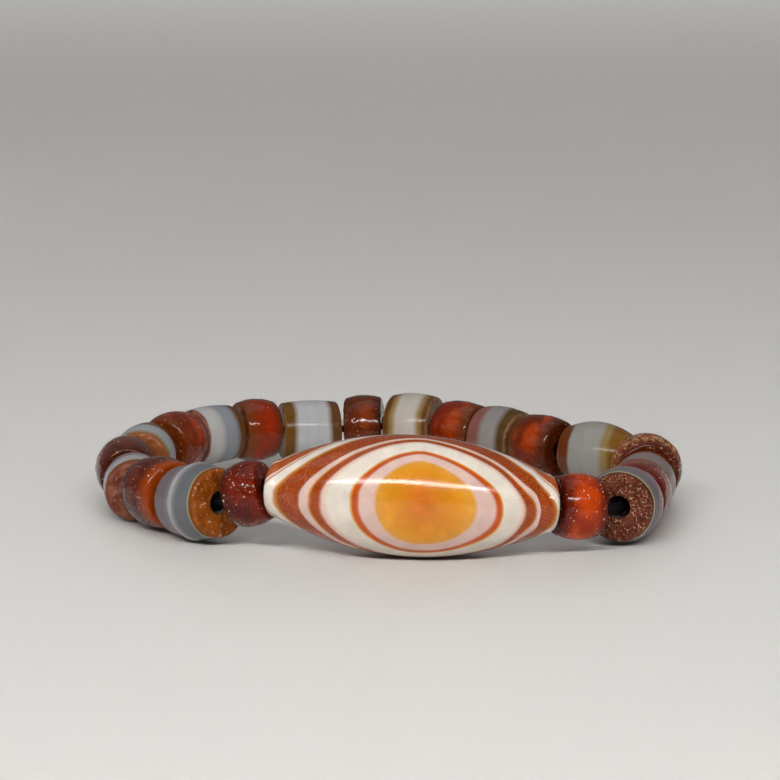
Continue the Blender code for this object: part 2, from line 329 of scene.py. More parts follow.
@dataclass(frozen=True)
class EyeBanding:
    """Sardonyx cut so that its layers ring an eye, ground and polished by hand.

    To the eye it is opaque white and orange stone in sharp rings, with a lemon fringe where the
    dye of the orange ran into the white, pale specks in the orange, hair cracks, a few dark pits
    and a wet gloss. The bands count in millimetres from the middle of the eye to its left. To
    its right the layers lie closer together, as pairs of measured and counted distances say,
    and round the bead they are flatter, as pairs of distance and share say.
    """

    name: str = "polished_sardonyx"
    eye_shift_mm: float = 1.206
    eye_rise: float = 0.157
    ends_sink: float = 0.014
    top_goes_left_mm: float = 0.60
    bottom_goes_left_mm: float = 0.17
    lower_reach: float = 1.257
    vertex_softness: float = 0.12
    reach_mm: float = 26.0
    warp_mm: float = 0.16
    warp_span_mm: float = 5.5
    left_power: float = 1.617
    right_power: float = 1.765
    power_blend_mm: float = 0.5
    first_flatness: float = 0.65
    rounds: int = 3
    to_the_right: tuple[Pair, ...] = (
        (0.0, 0.0), (6.05, 4.93), (8.20, 6.76), (8.98, 7.71), (11.32, 11.00), (12.64, 12.40),
        (13.04, 13.43), (14.92, 16.35), (15.25, 17.10), (26.0, 26.0),
    )
    flatness: tuple[Pair, ...] = (
        (0.0, 0.76), (4.92, 0.752), (6.75, 0.688), (7.70, 0.671), (10.99, 0.620), (12.41, 0.601),
        (13.43, 0.585), (16.35, 0.650), (26.0, 0.68),
    )
    bands: tuple[Band, ...] = (
        Band(2.0, "#CC6C12", 3.2), Band(4.2, "#DC9018", 1.2), Band(4.92, "#DA9632", 0.50),
        Band(6.75, "#DAB9AD", 0.34), Band(7.50, "#BC4C0A", 0.16), Band(7.74, "#DA9A44", 0.20),
        Band(10.35, "#E6DBCC", 0.50), Band(10.99, "#E0C2B2", 0.44), Band(12.17, "#963602", 0.18),
        Band(12.42, "#C6803A", 0.18), Band(13.43, "#DCBDB1", 0.24), Band(15.90, "#943400", 0.40),
        Band(16.35, "#C07A26", 0.26), Band(17.85, "#E6DACE", 0.14), Band(18.03, "#8A4A20", 0.10),
        Band(18.55, "#E2BCA6", 0.12), Band(18.70, "#7C3A14", 0.12), Band(21.42, "#A84C14", 0.40),
        Band(22.22, "#E6CDBA", 0.50), Band(24.3, "#A04010", 0.60), Band(25.0, "#D2A184", 0.60),
        Band(40.0, "#96380C"),
    )
    grain_bands: tuple[Band, ...] = (
        Band(2.4, "#A0A0A0", 3.0), Band(4.92, "#606060", 0.4), Band(6.75, "#181818", 0.4),
        Band(7.74, "#A0A0A0", 0.2), Band(11.0, "#000000", 0.6), Band(12.42, "#F0F0F0", 0.2),
        Band(13.49, "#202020", 0.2), Band(16.50, "#FFFFFF", 0.4), Band(18.02, "#000000", 0.2),
        Band(40.0, "#C0C0C0"),
    )
    speck_mm: float = 0.15
    speck_span: Pair = (0.50, 0.72)
    speck_strength: float = 0.60
    speck_colour: str = "#D08848"
    cloud_mm: float = 1.8
    cloud_span: Pair = (0.3, 0.7)
    cloud_light: Pair = (0.88, 1.08)
    crack_spacing_mm: float = 2.6
    crack_width: float = 0.020
    crack_strength: float = 0.30
    crack_span: Pair = (0.50, 0.60)
    crack_colour: str = "#A8A286"
    pit_spacing_mm: float = 1.5
    pit_rim: Pair = (0.020, 0.070)
    pit_strength: float = 0.45
    pit_depth_mm: float = 0.05
    pit_colour: str = "#6A5236"
    gloss: Gloss = Gloss(
        rough=0.05, rough_spread=0.13, grain_mm=0.30, grain_height_mm=0.012, glow=0.05,
        patch_mm=3.6, shine=0.40,
    )

    def left_or_right(self, tree: Tree, aside: Socket | bpy.types.Node) -> Socket:
        """Adds the nodes that count the layers along the bead, either way from the eye.

        Args:
            tree: the material's node tree.
            aside: the distance along the bead from the eye's middle, less than 0 to the left.

        Returns:
            The counted distance as a share of the reach.
        """
        right = add(tree, "MapRange", {"Value": aside, "From Max": self.reach_mm})
        right = add(tree, "FloatCurve", {"Value": right})
        fill_curve(right, self.to_the_right, self.reach_mm, self.reach_mm)
        left = add(tree, "MapRange", {"Value": aside, "From Max": -self.reach_mm})
        return add(tree, "Math", (left, right), operation="ADD").outputs[0]

    def ring_distance(self, tree: Tree, place: Socket, radius_mm: float) -> Socket:
        """Adds the nodes that tell which layer shows at a place on the bead.

        Args:
            tree: the material's node tree.
            place: the place in the stone, in millimetres.
            radius_mm: the bead's largest radius.

        Returns:
            The distance from the eye's middle, as the bands count it.
        """
        parts = add(tree, "SeparateXYZ", (place,))
        aside = add(tree, "Math", (parts.outputs["X"], self.eye_shift_mm), operation="SUBTRACT")
        forward = add(tree, "Math", (parts.outputs["Y"], -1.0), operation="MULTIPLY")
        turn = add(tree, "Math", (parts.outputs["Z"], forward), operation="ARCTAN2")
        turn = add(tree, "Math", (turn, self.eye_rise), operation="SUBTRACT")
        far = add(tree, "Math", (aside,), operation="ABSOLUTE")
        turn = add(tree, "Math", (far, self.ends_sink, turn), operation="MULTIPLY_ADD")
        below = add(tree, "Math", (turn, -1.0), operation="MULTIPLY")
        for half, goes_left_mm in ((turn, self.top_goes_left_mm), (below, self.bottom_goes_left_mm)):
            height = add(tree, "Math", (half, 0.0), operation="MAXIMUM", use_clamp=True)
            aside = add(tree, "Math", (height, goes_left_mm, aside), operation="MULTIPLY_ADD")
        along = self.left_or_right(tree, aside)
        below = add(tree, "Math", (below, self.lower_reach), operation="DIVIDE")
        turn = add(tree, "Math", (turn, below), operation="MAXIMUM")
        soft = self.vertex_softness
        square = add(tree, "Math", (turn, turn, soft**2), operation="MULTIPLY_ADD")
        turn = add(tree, "Math", (square,), operation="SQRT")
        turn = add(tree, "Math", (turn, soft), operation="SUBTRACT")
        arc = add(tree, "Math", (turn, radius_mm / self.reach_mm), operation="MULTIPLY")
        blend = self.power_blend_mm
        power = add(tree, "MapRange", (aside, -blend, blend, self.left_power, self.right_power))
        root = add(tree, "Math", (1.0, power), operation="DIVIDE")
        sideways = add(tree, "Math", (along, power), operation="POWER")
        flat: bpy.types.Node | float = self.first_flatness
        for _ in range(self.rounds):
            tall = add(tree, "Math", (arc, flat), operation="DIVIDE")
            tall = add(tree, "Math", (tall, power), operation="POWER")
            both = add(tree, "Math", (sideways, tall), operation="ADD")
            ring = add(tree, "Math", (both, root), operation="POWER")
            flat = add(tree, "FloatCurve", {"Value": ring})
            fill_curve(flat, self.flatness, self.reach_mm, 1.0)
        ends = (-self.warp_mm, self.warp_mm)
        sway = patches(tree, place, self.warp_span_mm, 1.5, ends=ends, clamp=False)
        return add(tree, "Math", (ring, self.reach_mm, sway), operation="MULTIPLY_ADD").outputs[0]

    def speckled(self, tree: Tree, place: Socket, ring: Socket) -> Socket:
        """Adds the layers' colour with the fine pale grain of the orange ones.

        Args:
            tree: the material's node tree.
            place: the place in the stone, in millimetres.
            ring: the distance from the eye's middle, as the bands count it.

        Returns:
            The colour, a little lighter and darker in wide clouds.
        """
        layers = layered(tree, self.bands, ring, self.reach_mm)
        grainy = layered(tree, self.grain_bands, ring, self.reach_mm)
        ends = (0.0, self.speck_strength)
        specks = patches(tree, place, self.speck_mm, 2.0, self.speck_span, ends, roughness=0.7)
        specks = add(tree, "Math", (specks, grainy), operation="MULTIPLY")
        pale = linear(self.speck_colour)
        grained = add(tree, "Mix", {0: specks, 6: layers, 7: pale}, data_type="RGBA").outputs[2]
        cloud = patches(tree, place, self.cloud_mm, 4.0, self.cloud_span, self.cloud_light)
        return add(tree, "HueSaturation", {"Color": grained, "Value": cloud}).outputs[0]

    def material(self, radius_mm: float) -> bpy.types.Material:
        """Makes the eye bead's material.

        Args:
            radius_mm: the bead's largest radius.

        Returns:
            The material, which reads the bead's own place attribute.
        """
        material, tree = new_tree(self.name)
        place = add(tree, "Attribute", attribute_name=STONE_PLACE).outputs["Vector"]
        stone = self.speckled(tree, place, self.ring_distance(tree, place, radius_mm))
        cells = {"Vector": place, "Scale": 1 / self.crack_spacing_mm}
        cracks = add(tree, "TexVoronoi", cells, feature="DISTANCE_TO_EDGE")
        crack = add(tree, "MapRange", (cracks, 0.0, self.crack_width, self.crack_strength, 0.0))
        broken = patches(tree, place, self.cloud_mm, 3.0, self.crack_span)
        crack = add(tree, "Math", (crack, broken), operation="MULTIPLY")
        filled = linear(self.crack_colour)
        cracked = add(tree, "Mix", {0: crack, 6: stone, 7: filled}, data_type="RGBA").outputs[2]
        holes = add(tree, "TexVoronoi", {"Vector": place, "Scale": 1 / self.pit_spacing_mm})
        hole = add(tree, "MapRange", (holes, *self.pit_rim, self.pit_strength, 0.0))
        dark = linear(self.pit_colour)
        pitted = add(tree, "Mix", {0: hole, 6: cracked, 7: dark}, data_type="RGBA").outputs[2]
        sunk = add(tree, "Math", (hole, -self.pit_depth_mm), operation="MULTIPLY").outputs[0]
        self.gloss.shade(tree, pitted, place, sunk)
        return material


@dataclass(frozen=True)
class AgateBanding:
    """Banded chalcedony, its layers square to the bore or leaning, drilled and polished.

    The bands count from the bead's first end along the thread. To the eye the grey and lavender
    layers are waxy and let some light in, and the brown ones show fine growth lines. End faces
    were sawn or broken into many small crystals, with pale lines on the crystals' edges painted
    as their glints.
    """

    bands: tuple[Band, ...]
    tilt: Tilt = Tilt.SQUARE
    warp_mm: float = 0.30
    warp_span_mm: float = 4.5
    lines: float = 0.045
    line_mm: float = 0.80
    line_span: Pair = (0.7, 1.3)
    haze_mm: float = 1.6
    face_colour: str = "#7A4426"
    face_light: str = "#B98A66"
    face_mix: float = 0.35
    face_span: Pair = (0.35, 0.65)
    face_rim_mm: Pair = (0.24, 0.04)
    crystal_mm: float = 0.42
    crystal_height_mm: float = 0.10
    crystal_dip: float = 0.8
    crumb_share: float = 1 / 1.5
    edge_share: float = 1 / 1.25
    # The edge and glint fields set pale lines on the crystals' edges: painted glints.
    edge_width: Pair = (0.01, 0.11)
    edge_strength: float = 0.85
    glints: float = 0.0
    glint_span: Pair = (0.66, 0.74)
    glint_reach: float = 0.26
    glint_colour: str = "#E2C6AC"
    ridge_mm: float = 0.0
    gloss: Gloss = Gloss(
        rough=0.11, rough_spread=0.10, grain_mm=0.26, grain_height_mm=0.006, glow=0.12,
        matt_extra=0.10,
    )

    def layers(self, tree: Tree, place: Socket, length_mm: float) -> Socket:
        """Adds the colour of the bead's layers, with their growth lines and a faint haze.

        Args:
            tree: the material's node tree.
            place: the place in the stone, in millimetres.
            length_mm: the bead's length.

        Returns:
            The layers' colour.
        """
        depth = add(tree, "VectorMath", (place, (1.0, *self.tilt.value)), operation="DOT_PRODUCT")
        ends = (length_mm / 2 - self.warp_mm, length_mm / 2 + self.warp_mm)
        sway = patches(tree, place, self.warp_span_mm, 2.0, ends=ends, clamp=False)
        depth = add(tree, "Math", (depth.outputs["Value"], sway), operation="ADD").outputs[0]
        bands = layered(tree, self.bands, depth, length_mm)
        growth = add(
            tree, "TexNoise", {"W": depth, "Scale": 1 / self.line_mm, "Detail": 1.0},
            noise_dimensions="1D",
        )
        haze = add(tree, "TexNoise", {"Vector": place, "Scale": 1 / self.haze_mm, "Detail": 3.0})
        uneven = add(tree, "Math", (growth, haze), operation="ADD")
        uneven = add(tree, "MapRange", (uneven, *self.line_span, 1 - self.lines, 1 + self.lines))
        return add(tree, "HueSaturation", {"Color": bands, "Value": uneven}).outputs[0]

    def broken_face_and_glints(self, tree: Tree, place: Socket) -> tuple[Socket, bpy.types.Node]:
        """Adds the colour and relief of an end face's small crystals, with painted glints on their
        edges.

        Args:
            tree: the material's node tree.
            place: the place in the stone, in millimetres.

        Returns:
            The colour with its painted glints, and the height as a share of the crystals'.
        """
        crystals = add(tree, "TexVoronoi", {"Vector": place, "Scale": 1 / self.crystal_mm})
        crumb_mm = self.crystal_mm * self.crumb_share
        crumbs = add(
            tree, "TexNoise",
            {"Vector": place, "Scale": 1 / crumb_mm, "Detail": 3.0, "Roughness": 0.65},
        )
        rugged = add(tree, "Math", (crystals, -self.crystal_dip, crumbs), operation="MULTIPLY_ADD")
        cells = {"Vector": place, "Scale": 1 / (self.crystal_mm * self.edge_share)}
        edges = add(tree, "TexVoronoi", cells, feature="DISTANCE_TO_EDGE")
        pale = patches(
            tree, place, self.haze_mm, 4.0, self.face_span, interpolation_type="SMOOTHSTEP"
        )
        colours = {6: linear(self.face_colour), 7: linear(self.face_light)}
        dull = add(tree, "Mix", {0: pale, **colours}, data_type="RGBA").outputs[2]
        # Pale lines along the crystals' edges are painted glints.
        edge = add(tree, "MapRange", (edges, *self.edge_width, self.edge_strength, 0.0))
        start, full = (limit - self.glint_reach * self.glints for limit in self.glint_span)
        lit = add(tree, "MapRange", (crumbs, start, full, 0.0, 1.0 if self.glints > 0.0 else 0.0))
        glint = add(tree, "Math", (edge, lit), operation="MULTIPLY")
        bright = linear(self.glint_colour)
        broken = add(tree, "Mix", {0: glint, 6: dull, 7: bright}, data_type="RGBA").outputs[2]
        return broken, rugged

    def material(self, name: str, length_mm: float) -> bpy.types.Material:
        """Makes the material of one banded bead.

        Args:
            name: the material's name.
            length_mm: the bead's length.

        Returns:
            The material, which reads the bead's own place attribute.
        """
        material, tree = new_tree(name)
        place = add(tree, "Attribute", attribute_name=STONE_PLACE).outputs["Vector"]
        layers = self.layers(tree, place, length_mm)
        parts = add(tree, "SeparateXYZ", (place,))
        out = add(tree, "Math", (parts.outputs["X"],), operation="ABSOLUTE")
        rim = [length_mm / 2 - inwards for inwards in self.face_rim_mm]
        face = add(tree, "MapRange", (out, *rim), interpolation_type="SMOOTHSTEP")
        broken, rugged = self.broken_face_and_glints(tree, place)
        sawn = add(tree, "Math", (face, self.face_mix), operation="MULTIPLY").outputs[0]
        faced = add(tree, "Mix", {0: sawn, 6: layers, 7: broken}, data_type="RGBA").outputs[2]
        crumb = add(tree, "Math", (rugged, self.crystal_height_mm), operation="MULTIPLY")
        crumb = add(tree, "Math", (crumb, face), operation="MULTIPLY").outputs[0]
        self.gloss.shade(tree, faced, place, crumb, sawn)
        return material


@dataclass(frozen=True)
class CarnelianTone:
    """Carnelian, tumbled and little polished: translucent red-orange, darker at its ends.

    To the eye it is a glowing, clouded red under a wet gloss. Clusters of tiny pale dots are
    painted glints for the light that the pores of the old surface catch, and a bruised bead wears
    a pale ribbon that is partly crusted stone and partly painted glitter of highlights.
    """

    core: str = "#9A3208"
    skin: str = "#6E1A04"
    first_end: str = "#4A0C02"
    last_end: str = "#4A0C02"
    end_reach: Pair = (0.16, 0.46)
    end_strength: float = 0.92
    cloud_mm: float = 3.0
    cloud_span: Pair = (0.36, 0.64)
    pore_mm: float = 0.42
    pore_share: float = 0.5
    pore_rim: Pair = (0.05, 0.45)
    pore_depth_mm: float = 0.10
    pore_colour: str = "#B86A40"
    bruise: float = 0.08
    # The glint fields set clusters of tiny pale dots: painted glints.
    glint_mm: float = 0.36
    glint_share: float = 0.5
    glint_size: float = 0.44
    glint_edge: float = 0.12
    glint_strength: float = 0.92
    glint_cluster_mm: float = 1.2
    glint_cluster_span: Pair = (0.46, 0.58)
    glint_colour: str = "#E4BCA4"
    # These fields set a pale ribbon round the middle: partly crusted stone, partly painted glitter of
    # highlights.
    crust_and_glitter: float = 0.0
    crust_mm: float = 1.3
    crust_span: Pair = (0.68, 0.78)
    crust_reach: float = 0.3
    crust_and_glitter_strength: float = 0.85
    crust_width_mm: float = 4.0
    crust_fade: Pair = (0.35, 0.65)
    crust_and_glitter_colour: str = "#A8845F"
    gloss: Gloss = Gloss(
        rough=0.06, rough_spread=0.07, grain_mm=0.30, grain_height_mm=0.006, glow=0.18,
        glow_tint=(1.0, 0.22, 0.06), shine=0.26,
    )

    def body(self, tree: Tree, place: Socket, length_mm: float) -> Socket:
        """Adds the stone's clouded colour, which turns to another one towards each end.

        Args:
            tree: the material's node tree.
            place: the place in the stone, in millimetres.
            length_mm: the bead's length.

        Returns:
            The colour below the pores.
        """
        cloud = patches(
            tree, place, self.cloud_mm, 3.0, self.cloud_span, distortion=0.6,
            interpolation_type="SMOOTHSTEP",
        )
        colours = {6: linear(self.skin), 7: linear(self.core)}
        colour = add(tree, "Mix", {0: cloud, **colours}, data_type="RGBA").outputs[2]
        parts = add(tree, "SeparateXYZ", (place,))
        for side, end in ((-1, self.first_end), (1, self.last_end)):
            start, full = (side * length_mm * reach for reach in self.end_reach)
            near_end = add(
                tree, "MapRange", (parts.outputs["X"], start, full, 0.0, self.end_strength),
                interpolation_type="SMOOTHSTEP",
            )
            inputs = {0: near_end, 6: colour, 7: linear(end)}
            colour = add(tree, "Mix", inputs, data_type="RGBA").outputs[2]
        return colour

    def pores(self, tree: Tree, place: Socket) -> Socket:
        """Adds the pores of the old surface.

        Args:
            tree: the material's node tree.
            place: the place in the stone, in millimetres.

        Returns:
            1 in the middle of a pore, 0 between them.
        """
        cells = add(tree, "TexVoronoi", {"Vector": place, "Scale": 1 / self.pore_mm})
        kept = add(tree, "Math", (cells.outputs["Color"], self.pore_share), operation="LESS_THAN")
        pore = add(
            tree, "MapRange", (cells, *self.pore_rim, 1.0, 0.0), interpolation_type="SMOOTHSTEP"
        )
        return add(tree, "Math", (pore, kept), operation="MULTIPLY").outputs[0]

    def glints(self, tree: Tree, place: Socket) -> Socket:
        """Adds tiny pale dots in clusters, which are painted glints.

        Args:
            tree: the material's node tree.
            place: the place in the stone, in millimetres.

        Returns:
            Above 0 on a painted glint, 0 beside it.
        """
        # Each pale dot is a painted glint.
        cells = add(tree, "TexVoronoi", {"Vector": place, "Scale": 1 / self.glint_mm})
        shrink = -self.glint_size / self.glint_share
        size = add(
            tree, "Math", (cells.outputs["Color"], shrink, self.glint_size),
            operation="MULTIPLY_ADD",
        )
        inside = add(tree, "Math", (size, cells), operation="SUBTRACT")
        glint_dot = add(tree, "MapRange", (inside, 0.0, self.glint_edge, 0.0, self.glint_strength))
        cluster = patches(tree, place, self.glint_cluster_mm, 2.0, self.glint_cluster_span)
        return add(tree, "Math", (glint_dot, cluster), operation="MULTIPLY").outputs[0]

    def crust_and_glitter_ribbon(self, tree: Tree, place: Socket) -> Socket:
        """Adds the pale ribbon round the bead's middle: partly crusted stone, partly painted glitter
        of highlights.

        Args:
            tree: the material's node tree.
            place: the place in the stone, in millimetres.

        Returns:
            Above 0 on the ribbon, 0 beside it.
        """
        # The pale ribbon is partly crusted stone and partly painted glitter of highlights.
        span = tuple(limit - self.crust_reach * self.crust_and_glitter for limit in self.crust_span)
        crust_and_glitter = patches(
            tree, place, self.crust_mm, 5.0, span,
            (0.0, self.crust_and_glitter_strength if self.crust_and_glitter > 0.0 else 0.0),
            roughness=0.65, interpolation_type="SMOOTHSTEP",
        )
        parts = add(tree, "SeparateXYZ", (place,))
        aside = add(tree, "Math", (parts.outputs["X"],), operation="ABSOLUTE")
        fade = [self.crust_width_mm * share for share in self.crust_fade]
        ribbon = add(
            tree, "MapRange", (aside, *fade, 1.0, 0.0), interpolation_type="SMOOTHSTEP"
        )
        return add(tree, "Math", (crust_and_glitter, ribbon), operation="MULTIPLY").outputs[0]

    def material(self, name: str, length_mm: float) -> bpy.types.Material:
        """Makes the material of one carnelian bead.

        Args:
            name: the material's name.
            length_mm: the bead's length.

        Returns:
            The material, which reads the bead's own place and pit attributes.
        """
        material, tree = new_tree(name)
        place = add(tree, "Attribute", attribute_name=STONE_PLACE).outputs["Vector"]
        pits = add(tree, "Attribute", attribute_name=STONE_PITS).outputs["Fac"]
        colour = self.body(tree, place, length_mm)
        pore = self.pores(tree, place)
        worn = add(tree, "Math", (pore, pits), operation="MAXIMUM")
        bruised = add(tree, "Math", (worn, self.bruise), operation="MULTIPLY").outputs[0]
        crust_and_glitter = self.crust_and_glitter_ribbon(tree, place)
        glints = self.glints(tree, place)
        # Pale pores, then the pale ribbon of crusted stone and painted glitter, then the painted
        # glints.
        for share, shade in (
            (bruised, self.pore_colour), (crust_and_glitter, self.crust_and_glitter_colour), (glints, self.glint_colour)
        ):
            inputs = {0: share, 6: colour, 7: linear(shade)}
            colour = add(tree, "Mix", inputs, data_type="RGBA").outputs[2]
        sunk = add(tree, "Math", (pore, -self.pore_depth_mm), operation="MULTIPLY").outputs[0]
        self.gloss.shade(tree, colour, place, sunk, crust_and_glitter)
        return material


@dataclass(frozen=True)
class ElasticCover:
    """Black stretch cord: latex under a matt polyester cover, twisted into low ribs.

    To the eye it is a near-black line with a dull sheen on its ribs. The cover's threads are too
    fine to show, so they are drawn as a grain of 0.12 mm.
    """

    name: str = "polyester_covered_elastic"
    dark: str = "#040404"
    light: str = "#111112"
    thread_mm: float = 0.12
    thread_height_mm: float = 0.03
    rough: float = 0.60
    shine: float = 0.2

    def material(self) -> bpy.types.Material:
        """Makes the thread's material.

        Returns:
            The material: fine dark threads, drawn as grain across the cord.
        """
        material, tree = new_tree(self.name)
        place = add(tree, "TexCoord").outputs["Object"]
        scale = 1 / (self.thread_mm * MM)
        weave = add(tree, "TexNoise", {"Vector": place, "Scale": scale, "Detail": 2.0})
        colours = {6: linear(self.dark), 7: linear(self.light)}
        colour = add(tree, "Mix", {0: weave, **colours}, data_type="RGBA").outputs[2]
        bump = add(tree, "Bump", {"Height": weave, "Distance": self.thread_height_mm * MM})
        shader = add(
            tree, "BsdfPrincipled",
            {"Base Color": colour, "Roughness": self.rough, "Specular IOR Level": self.shine,
             "Normal": bump},
        )
        add(tree, "OutputMaterial", {"Surface": shader})
        return material


@dataclass(frozen=True)
class Seat:
    """Where a packed bead sits, and the sizes it was turned to."""

    centre: Vector
    along: Vector
    length: float
    girth: float
    end: float
    edge: float
    bore: float

    def frame(self) -> Matrix:
        """Works out how the bead lies.

        Returns:
            The matrix from the bead's own frame to the bracelet's, its X along the bore.
        """
        across = Vector((0.0, 0.0, 1.0)).cross(self.along).normalized()
        turn = Matrix((self.along, across, self.along.cross(across))).transposed()
        return Matrix.Translation(self.centre) @ turn.to_4x4()

    def mouth(self, side: float) -> Vector:
        """A point on the bore's line: -1 is its first mouth, 1 its last."""
        return self.centre + self.along * (side * self.length / 2)


def node_triangles(node: str) -> np.ndarray:
    """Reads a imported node's triangles.

    Args:
        node: the node's name.

    Returns:
        The corners as an array of triangles by corners by coordinates.
    """
    mesh = bpy.data.objects[node].data
    mesh.calc_loop_triangles()
    corners = np.empty(len(mesh.vertices) * 3)
    mesh.vertices.foreach_get("co", corners)
    turns = np.empty(len(mesh.loop_triangles) * 3, dtype=np.int32)
    mesh.loop_triangles.foreach_get("vertices", turns)
    return corners.reshape(-1, 3)[turns.reshape(-1, 3)]


def read_seat(node: str, heading: Vector) -> Seat:
    """Works out a bead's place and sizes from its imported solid.

    Args:
        node: the bead's node.
        heading: roughly the way its bore runs.

    Returns:
        The bead's seat, its bore along the heading.
    """
    faces = node_triangles(node)
    normals = np.cross(faces[:, 1] - faces[:, 0], faces[:, 2] - faces[:, 0])
    axis = np.array(heading.normalized())
    for _ in range(AXIS_ROUNDS):
        facing = (normals @ axis) / np.maximum(np.linalg.norm(normals, axis=1), 1e-12)
        ends = np.abs(facing) > END_FACING
        axis = (normals[ends] * np.sign(facing[ends])[:, None]).sum(axis=0)
        axis /= np.linalg.norm(axis)
    corners = np.unique(faces.reshape(-1, 3).round(6), axis=0)
    centre = corners.mean(axis=0)
    offset = corners - centre
    along = np.abs(offset @ axis)
    radius = np.linalg.norm(offset - np.outer(offset @ axis, axis), axis=1)
    flat = math.cos(math.pi / PACKED_SIDES)
    bore = 2 * radius.min()
    half = along[radius < bore / 2 * BORE_REACH].mean()
    outer = radius > bore / 2 * OUTER_START
    rings = np.unique(along[outer].round(5))
    shoulder = rings[-1 - PACKED_EDGE_STEPS]
    end = 2 * radius[outer & (np.abs(along - shoulder) < SAME_RING)].max() * flat
    girth = 2 * radius.max() * flat
    return Seat(Vector(centre), Vector(axis), 2 * half, girth, end, half - shoulder, bore)


def close(form: bmesh.types.BMesh, mesh: bpy.types.Mesh) -> None:
    """Merges a form's seams, points its faces outwards and writes it to a mesh.

    Args:
        form: the closed form, which is freed.
        mesh: the mesh that takes it.
    """
    bmesh.ops.remove_doubles(form, verts=form.verts, dist=MERGE)
    bmesh.ops.recalc_face_normals(form, faces=form.faces)
    form.to_mesh(mesh)
    form.free()


def hand_over(mesh: bpy.types.Mesh, name: str, node: str) -> None:
    """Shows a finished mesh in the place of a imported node.

    Args:
        mesh: the mesh, in the bracelet's frame.
        name: the new object's name.
        node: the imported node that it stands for.
    """
    thing = bpy.data.objects.new(name, mesh)
    bpy.context.scene.collection.objects.link(thing)
    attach(thing, BODY)
    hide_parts(node)
    log.info("%s: %d points", name, len(mesh.vertices))


@dataclass(frozen=True)
class Relief:
    """How far a stone's surface strays from a true turned form, in millimetres."""

    lump: float = 0.05
    lump_span: float = 3.2
    dent: float = 0.014
    dent_span: float = 0.9
    pit: float = 0.0
    pit_span: float = 1.0
    pit_reach: float = 0.42
    pit_power: float = 1.5
    pit_shuffle: float = 3.7
    pit_cutoff: float = -0.1
    face: float = 0.02
    face_span: float = 0.7
    face_fractal: tuple[float, float, int] = (0.9, 2.1, 3)

    def height(self, place: Vector, faceness: float, seed: float) -> Pair:
        """Works out the surface's height at a place, and how deep in a pit it is.

        Args:
            place: the place in the bead, in millimetres.
            faceness: 0 on the side, 1 on an end face.
            seed: the bead's own number, so that no two are alike.

        Returns:
            The height in millimetres, and the pit's share from 0 to 1.
        """
        away = Vector([seed * step for step in SEED_STEPS])
        height = self.lump * noise.noise(place / self.lump_span + away)
        height += self.dent * noise.noise(place / self.dent_span + away)
        if faceness > 0.0:
            rough = noise.fractal(place / self.face_span + away, *self.face_fractal)
            height += faceness * self.face * rough
        depth = 0.0
        if self.pit > 0.0:
            near, spots = noise.voronoi(place / self.pit_span + away)
            if noise.noise(spots[0] * self.pit_shuffle) > self.pit_cutoff:
                depth = max(0.0, 1.0 - near[0] / self.pit_reach) ** self.pit_power
        return height - self.pit * depth, depth


